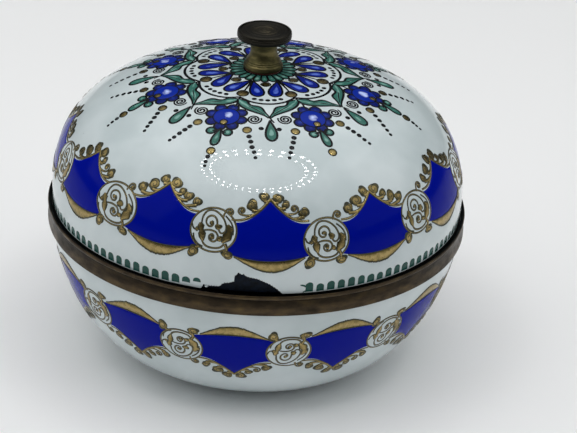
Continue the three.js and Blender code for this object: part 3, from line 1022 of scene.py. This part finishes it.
def medallion(on, ground):
    """White oval in a dark ring with a gold core. Inside it an arch and a bowl-shaped line, two
    spirals, hooks and stalks, and broad gilt leaves at the left and right."""
    half_u, half_w = MEDALLION
    oval = circle((0, 0), half_u, 48, half_w / half_u)
    ground.lay(on.canvas, drop(oval, (0, 0), base=0.034, top=0.05, rings=(1, 0.97, 0.7, 0.4)))
    gilded(on, np.concatenate([oval, oval[:2]]) * 0.985, 0.09, edge=0.22, top=0.15)
    shift = near(0, 0)
    for width, *points in (
            (0.07, (-3.4, 1.2), (-3.2, 3.1), (-2.2, 4.6), (-0.6, 4.95), (1.1, 4.3), (2.6, 2.9),
             (3.4, 1.0), (3.1, -0.3), (2.1, -0.7), (1.3, 0.3)),
            (0.09, (-2.8, -3.1), (-2.1, -4.1), (-0.8, -4.7), (1.0, -4.75), (2.4, -4.3), (3.2, -3.4)),
            (0.08, (0.9, 0.9), (0.8, 2.3), (0.1, 3.3), (-1.0, 3.5), (-2.0, 2.8), (-2.1, 1.6),
             (-1.4, 0.8), (-0.5, 0.9), (-0.2, 1.7), (-0.7, 2.2)),
            (0.08, (-2.6, -0.5), (-1.0, -0.2), (0.6, -0.5), (1.35, -1.5), (1.0, -2.7), (0.1, -3.1),
             (-0.8, -2.6), (-0.9, -1.7), (-0.2, -1.2), (0.4, -1.8)),
            (0.03, (-6.0, 0.9), (-5.5, -0.2), (-4.6, -0.6), (-3.6, -0.5)),
            (0.03, (-5.3, -1.6), (-4.9, -3.0), (-3.8, -4.2), (-2.4, -4.8)),
            (0.03, (2.9, 3.9), (4.4, 2.5), (5.2, 0.9), (5.3, -0.9))):
        path = through(*points, count=40) + shift
        gilded(on, path, width * brushed(40, 1, tail=0.8), 0.2, base=0.04, top=0.16)
    for widths, *points in (
            ((0.2, 0.85, 0.45, 0.9, 0.7, 0.15),
             (-3.9, 1.4), (-3.6, 0.3), (-3.2, -0.9), (-3.0, -2.1), (-2.7, -3.3)),
            ((0.2, 0.8, 0.75, 1.25, 0.75, 0.15),
             (3.7, 1.5), (4.3, 0.3), (4.1, -1.1), (3.3, -2.3), (2.6, -3.3))):
        path = through(*points, count=26) + shift + near(0, 0, 0.1)
        swell = np.interp(np.linspace(0, 5, 26), range(6), widths)
        gilded(on, path, swell * rng.uniform(0.9, 1.1), base=ON_GROUND, top=0.18)
    for centre, radius, squash in (((-0.8, 1.8), 0.6, 1.0), ((0.0, -2.1), 0.65, 1.0),
                                   ((1.35, 0.75), 1.0, 0.85), ((4.8, 0.3), 0.75, 1.1),
                                   ((1.9, -2.3), 0.85, 0.9), ((-4.4, -0.4), 0.6, 1.0)):
        spot = near(*shift + centre, 0.1)
        gilt_spot(on, spot, radius * rng.uniform(0.92, 1.08), squash, top=0.19)


def medallion_feet(on):
    """Two small curls between a medallion and the rim, the right one on a short stalk."""
    curl(on, near(-4.8, -5.9, 0.15), 1.4, 1, (-3.4, -4.6), end=60, squash=1.15)
    gilded(on, through((3.4, -3.2), (3.9, -4.5), (3.7, -5.6)), 0.3, base=0.04, top=0.17)
    curl(on, near(4.1, -6.2, 0.15), 1.6, -1, (3.5, -5.0), end=120, squash=0.66)


def paint_belt(body, meridian, turn, places, away, wide=None):
    """One belt: medallions, the first at azimuth turn, and the panels between them. The painter's
    medallions don't all lie as far along the shell; a panel goes by its two neighbours. One of
    them, wide, came out broader than the rest."""
    ground, white, gilt, line = (Paint() for _ in range(4))
    for k, here in enumerate(places):
        azimuth = math.radians(turn + 360 / PANELS * k)
        middle = (here + places[(k + 1) % PANELS]) / 2
        between = belt(meridian, azimuth + math.pi / PANELS, middle, away)
        belt_panel(Gilder(between, gilt, line), ground)
        panel_curls(Gilder(between, gilt, line))
        oval = belt(meridian, azimuth, here, away, stretch=BROAD if k == wide else 1.0)
        medallion(Gilder(oval, gilt, line), white)
        medallion_feet(Gilder(belt(meridian, azimuth, here, away), gilt, line))
    for paint, name, material in (
            (ground, "cobalt_panels", COBALT_GROUND), (white, "medallion_grounds", WHITE),
            (gilt, "gilding", GILDING), (line, "gilding_lines", DARK_GILDING)):
        paint.make(f"{body}_{name}", material, body)


def lid_edge_tongues():
    """Row of rounded green tongues standing on the lid's lower edge. Their feet are worn away
    towards the chip, and none are left at it. A tongue is half an ellipse on two straight sides."""
    tongues = Paint()
    edge = LID.length
    bare_from, bare_to, shortest = -12.3, 14.2, 1.1
    for azimuth in azimuth_steps(TONGUES):
        degrees = front_degrees(azimuth)
        if bare_from < degrees < bare_to:
            continue
        height = rng.normal(3.0, 0.15)
        foot = 0.05 + (np.clip((degrees + 21) * 0.24, 0, 1.9) if degrees < 0 else 0)
        half = rng.normal(1.16, 0.05)
        if height - foot < shortest:
            continue
        t = np.linspace(0, math.pi, 7)
        arch = np.stack([half * np.cos(t), height - half * 0.9 + half * 0.9 * np.sin(t)], 1)
        outline = np.concatenate([arch, [(-half, foot), (half, foot)]])
        canvas = belt(LID, azimuth, edge, -1)
        tongues.lay(canvas, drop(outline, (0, (height + foot) / 2), rings=(1, 0.7)))
    hook = through((-2.0, 2.5), (-0.6, 2.0), (-0.1, 0.9), (-1.2, 0.15), count=18)
    tongues.lay(belt(LID, math.radians(14), edge, -1), stroke(hook, brushed(18, 0.3)))
    tongues.make("lid_edge_tongues", TONGUE_GREEN, "lid")

# ---- Everything on the box ----

lid_and_bowl()
brass_rim()
knob_head()
knob_stem()
knob_fixing()

paint_crown()

# How far along the shell each medallion's middle lies, in mm, starting left of the front.
LID_MEDALLIONS = [64.6, 66.7, 65.7, 64.6, 65.0, 65.4, 64.8, 65.3, 65.0, 64.8, 64.6, 64.7]
BOWL_MEDALLIONS = [18.2, 17.6, 17.3, 17.1, 17.4, 17.0, 17.3, 17.5, 17.2, 17.0, 17.2, 16.9]
paint_belt("lid", LID, -11.1, LID_MEDALLIONS, -1, wide=11)
paint_belt("bowl", BOWL, -19.4, BOWL_MEDALLIONS, 1)
lid_edge_tongues()

# ---- Stage ----


def place_camera():
    """Camera in front of the box and a little above it, rolled by a few degrees."""
    distance, elevation, roll = 520.4, math.radians(26.16), math.radians(2.63)
    target = Vector((0, 0, RIM_TOP * MM))
    back = Vector((0, -math.cos(elevation), math.sin(elevation))) * distance * MM
    lens = bpy.data.cameras.new("camera")
    lens.lens = 112.3
    lens.sensor_width = 36
    lens.clip_start = 0.01
    camera = placed("camera", lens)
    # The rim's middle lies a little to the left of the view's middle, and above it.
    aim = Vector((-0.01736, 0.01194, -1)).normalized()
    turn = (-back).to_track_quat("-Z", "Y") @ Quaternion((0, 0, 1), roll)
    camera.rotation_mode = "QUATERNION"
    camera.rotation_quaternion = turn @ aim.rotation_difference(Vector((0, 0, -1)))
    camera.location = target + back
    bpy.context.scene.camera = camera


def soft_light(name, place, size, watts):
    """Square area light at a place in metres, turned to the middle of the box."""
    light = bpy.data.lights.new(name, "AREA")
    light.size = size
    light.energy = watts
    lamp = placed(name, light)
    lamp.location = place
    away = Vector(place) - Vector((0, 0, RIM_TOP * MM))
    lamp.rotation_euler = away.to_track_quat("Z", "Y").to_euler()


def stage_piece(name, points, faces, material):
    """A mesh in metres that is part of the stage, not of the box."""
    mesh = bpy.data.meshes.new(name)
    mesh.from_pydata(points, [], faces)
    mesh.materials.append(material)
    placed(name, mesh)


def make_floor():
    """Matt off-white card, wide enough to fill every view."""
    material = surface("white_card", Base_Color=(0.97, 0.97, 0.97, 1), Roughness=1.0)[0]
    reach = 6.0
    corners = [(-reach, -reach, 0), (reach, -reach, 0), (reach, reach, 0), (-reach, reach, 0)]
    stage_piece("floor", corners, [[0, 1, 2, 3]], material)


def make_bulb_ring():
    """Two rings of small bulbs over the box, such as a round lamp has: the glossy lid mirrors them
    as rings of bright dots on its front."""
    material = bpy.data.materials.new("lamp_bulbs")
    material.use_nodes = True
    tree = material.node_tree
    add(tree, "Emission", {"Color": (1, 1, 1, 1), "Strength": 34.0},
        into=tree.nodes["Material Output"].inputs["Surface"])
    centre, half = np.array([0.0, -0.12, 0.68]), 0.006
    points, faces = [], []
    for radius, bulbs in ((0.205, 34), (0.245, 38)):
        for azimuth in azimuth_steps(bulbs):
            spot = centre + around(radius, azimuth, 0)
            faces.append(range(len(points), len(points) + 4))
            points += [spot + (x, y, 0) for x, y in ((-half, -half), (-half, half), (half, half),
                                                     (half, -half))]
    stage_piece("lamp_bulbs", points, faces, material)


def make_light():
    """Pale surroundings, dimmer towards the horizon, and broad soft lights above and beside."""
    world = bpy.data.worlds.new("pale_room")
    world.use_nodes = True
    tree = world.node_tree
    direction = add(tree, "TexCoord").outputs["Generated"]
    height = add(tree, "SeparateXYZ", {0: direction}).outputs["Z"]
    background = tree.nodes["Background"]
    background.inputs["Color"].default_value = (0.95, 0.99, 1, 1)
    add(tree, "MapRange", {"Value": height, "From Min": 0.35, "From Max": 0.9, "To Min": 0.07,
                           "To Max": 0.3}, {"interpolation_type": "SMOOTHSTEP"},
        into=background.inputs["Strength"])
    bpy.context.scene.world = world
    soft_light("overhead", (0.0, 0.3, 1.5), 2.0, 8.6)
    soft_light("left", (-1.3, -0.2, 1.1), 2.0, 9.8)
    soft_light("right", (1.3, -0.2, 1.1), 2.0, 7.6)


place_camera()
make_floor()
make_bulb_ring()
make_light()
bpy.context.scene.view_settings.view_transform = "Standard"
